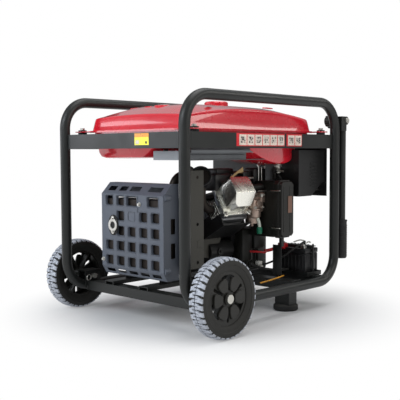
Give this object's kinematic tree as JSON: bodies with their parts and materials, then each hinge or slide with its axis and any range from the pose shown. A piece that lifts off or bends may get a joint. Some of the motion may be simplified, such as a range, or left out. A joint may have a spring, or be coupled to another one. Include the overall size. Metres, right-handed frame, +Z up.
{
  "type": "portable generator",
  "caption": "Wheeled tube-frame generating set with folding handles, top tank, inclined single-cylinder engine, alternator and guarded muffler.",
  "frame": {"origin": "on the ground, in the middle of the machine's overall length and width", "axes": "+Z up; +X towards the control panel and the folding handles, -X towards the muffler and the wheels; -Y towards the cylinder head and the air cleaner"},
  "size_m": [0.8081, 0.7092, 0.69],
  "materials": {
    "frame_paint": "satin powder coat",
    "tank_red": "gloss enamel",
    "guard_paint": "satin heat-proof paint",
    "shield_paint": "satin heat-proof paint",
    "shroud_paint": "satin paint",
    "panel_paint": "fine texture powder coat",
    "hub_plastic": "moulded, fine grain",
    "tyre_rubber": "moulded rubber",
    "black_rubber": "moulded rubber",
    "grip_rubber": "ribbed rubber",
    "black_plastic": "moulded",
    "battery_plastic": "moulded",
    "gauge_face": "moulded",
    "filter_foam": "open foam",
    "zinc_plate": "bright zinc plate",
    "zinc_casting": "die-cast zinc",
    "bare_steel": "bare pressed steel",
    "exhaust_steel": "heat-browned steel",
    "forged_steel": "ground steel",
    "core_steel": "painted laminations",
    "grey_iron": "machined casting",
    "cast_alloy": "die-cast, bead blasted",
    "bright_alloy": "bright pressed alloy",
    "winding_copper": "varnished winding"
  },
  "bodies": {
    "frame": {"hoop_left": "frame_paint", "hoop_right": "frame_paint", "tank_rails": "frame_paint", "cross_members": "frame_paint", "engine_rails": "frame_paint", "rubber_feet": "black_rubber", "rubber_mounts": "black_rubber", "bolts": "zinc_plate", "battery_tray": "frame_paint", "battery_case": "battery_plastic", "hoses_leads": "black_rubber", "tank_upper": "tank_red", "tank_lower": "tank_red", "tank_heat_shield": "bare_steel", "fuel_gauge": "gauge_face", "fuel_valve": "zinc_plate", "crankcase": "cast_alloy", "cylinder_barrel": "cast_alloy", "cylinder_head": "cast_alloy", "valve_cover": "bright_alloy", "spark_plug": "black_rubber", "carburettor": "zinc_casting", "air_box": "black_plastic", "air_box_cover": "black_plastic", "air_filter": "filter_foam", "exhaust_pipe": "exhaust_steel", "muffler_body": "exhaust_steel", "muffler_guard": "guard_paint", "exhaust_outlet": "bare_steel", "side_heat_shield": "shield_paint", "fan_shroud": "shroud_paint", "recoil_cover": "shroud_paint", "piston": "cast_alloy", "starter_motor": "bare_steel", "stator": "core_steel", "alternator_ends": "cast_alloy", "panel_box": "panel_paint", "panel_face": "panel_paint", "outlets": "black_plastic", "axle_pins": "zinc_plate", "handle_brackets": "frame_paint"},
    "left_wheel": {"tyre_left": "tyre_rubber", "hub_left": "hub_plastic"},
    "right_wheel": {"tyre_right": "tyre_rubber", "hub_right": "hub_plastic"},
    "left_handle": {"handle_left": "frame_paint", "grip_left": "grip_rubber"},
    "right_handle": {"handle_right": "frame_paint", "grip_right": "grip_rubber"},
    "left_knob": {"knob_left": "black_plastic"},
    "right_knob": {"knob_right": "black_plastic"},
    "filler_cap": {"fuel_cap": "tank_red"},
    "fuel_lever": {"fuel_valve_lever": "black_plastic"},
    "choke": {"choke_lever": "zinc_plate"},
    "pull_grip": {"recoil_grip": "black_plastic"},
    "crank_train": {"crankshaft": "forged_steel", "flywheel": "grey_iron", "rotor": "winding_copper"},
    "breaker": {"breaker_lever": "gauge_face"},
    "key": {"ignition_key": "zinc_plate"}
  },
  "joints": [
    {"name": "left_wheel_spin", "type": "hinge", "parent": "frame", "child": "left_wheel", "pos_m": [-0.2905, -0.327, 0.114], "axis": [0, 1, 0], "continuous": true},
    {"name": "right_wheel_spin", "type": "hinge", "parent": "frame", "child": "right_wheel", "pos_m": [-0.2905, 0.327, 0.114], "axis": [0, 1, 0], "continuous": true},
    {"name": "left_handle_fold", "type": "hinge", "parent": "frame", "child": "left_handle", "pos_m": [0.3765, -0.2675, 0.618], "axis": [0, -1, 0], "range_deg": [0, 95]},
    {"name": "right_handle_fold", "type": "hinge", "parent": "frame", "child": "right_handle", "pos_m": [0.3765, 0.2675, 0.618], "axis": [0, -1, 0], "range_deg": [0, 95]},
    {"name": "left_knob_turn", "type": "hinge", "parent": "frame", "child": "left_knob", "pos_m": [0.3765, -0.2375, 0.618], "axis": [0, 1, 0], "range_deg": [0, 180]},
    {"name": "right_knob_turn", "type": "hinge", "parent": "frame", "child": "right_knob", "pos_m": [0.3765, 0.2375, 0.618], "axis": [0, -1, 0], "range_deg": [0, 180]},
    {"name": "filler_cap_turn", "type": "hinge", "parent": "frame", "child": "filler_cap", "pos_m": [0.0365, 0, 0.67], "axis": [0, 0, 1], "range_deg": [0, 90]},
    {"name": "fuel_lever_turn", "type": "hinge", "parent": "frame", "child": "fuel_lever", "pos_m": [0.1365, -0.168, 0.455], "axis": [-1, 0, 0], "range_deg": [0, 90]},
    {"name": "choke_turn", "type": "hinge", "parent": "frame", "child": "choke", "pos_m": [0.0675, -0.12848, 0.3715], "axis": [0, 0, -1], "range_deg": [0, 50]},
    {"name": "pull_start", "type": "slide", "parent": "frame", "child": "pull_grip", "axis": [0, 1, 0], "range_m": [0, 0.45], "stiffness_N_per_m": 15},
    {"name": "crank_spin", "type": "hinge", "parent": "frame", "child": "crank_train", "pos_m": [-0.0235, 0.06, 0.242], "axis": [1, 0, 0], "continuous": true},
    {"name": "breaker_throw", "type": "hinge", "parent": "frame", "child": "breaker", "pos_m": [0.329, 0.01, 0.466], "axis": [0, 1, 0], "range_deg": [0, 36]},
    {"name": "key_turn", "type": "hinge", "parent": "frame", "child": "key", "pos_m": [0.333, 0.07, 0.466], "axis": [1, 0, 0], "range_deg": [0, 60]}
  ]
}
